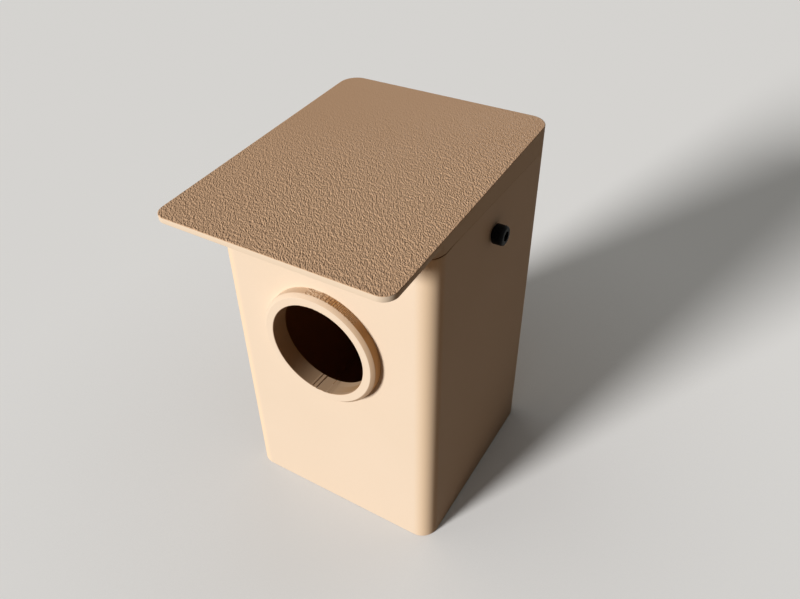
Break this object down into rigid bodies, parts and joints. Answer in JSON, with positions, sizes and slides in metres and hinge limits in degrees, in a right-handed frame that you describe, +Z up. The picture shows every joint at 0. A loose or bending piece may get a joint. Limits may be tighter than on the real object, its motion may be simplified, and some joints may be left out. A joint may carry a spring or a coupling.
{
  "type": "nest box",
  "caption": "Small printed wren nest box: rounded square walls, round entrance with a raised collar, overhanging sloped lift-off roof held by side screws, keyhole at the back.",
  "frame": {"origin": "middle of the box's underside, at the level that the box stands on", "axes": "+Z up, entrance faces -Y, flat back wall faces +Y, +X to the right seen from the front"},
  "size_m": [0.0702, 0.0821, 0.1088],
  "materials": {
    "printed_plastic": "matt tan printed plastic with fine level layer lines",
    "textured_plastic": "matt tan printed plastic, pebbled on the face that was printed against a textured plate",
    "black_steel": "black oxide, slightly oily",
    "plated_steel": "bright zinc plate"
  },
  "bodies": {
    "box": {"nest_box_body": "printed_plastic", "nut_right": "plated_steel", "nut_left": "plated_steel"},
    "roof": {"roof_lid": "textured_plastic"},
    "right_screw": {"screw_right": "black_steel"},
    "left_screw": {"screw_left": "black_steel"}
  },
  "joints": [
    {"name": "roof_lift", "type": "slide", "parent": "box", "child": "roof", "axis": [0, 0, 1], "range_m": [0, 0.035]},
    {"name": "right_screw_out", "type": "slide", "parent": "box", "child": "right_screw", "axis": [1, 0, 0], "range_m": [0, 0.003]},
    {"name": "left_screw_out", "type": "slide", "parent": "box", "child": "left_screw", "axis": [-1, 0, 0], "range_m": [0, 0.003]}
  ]
}
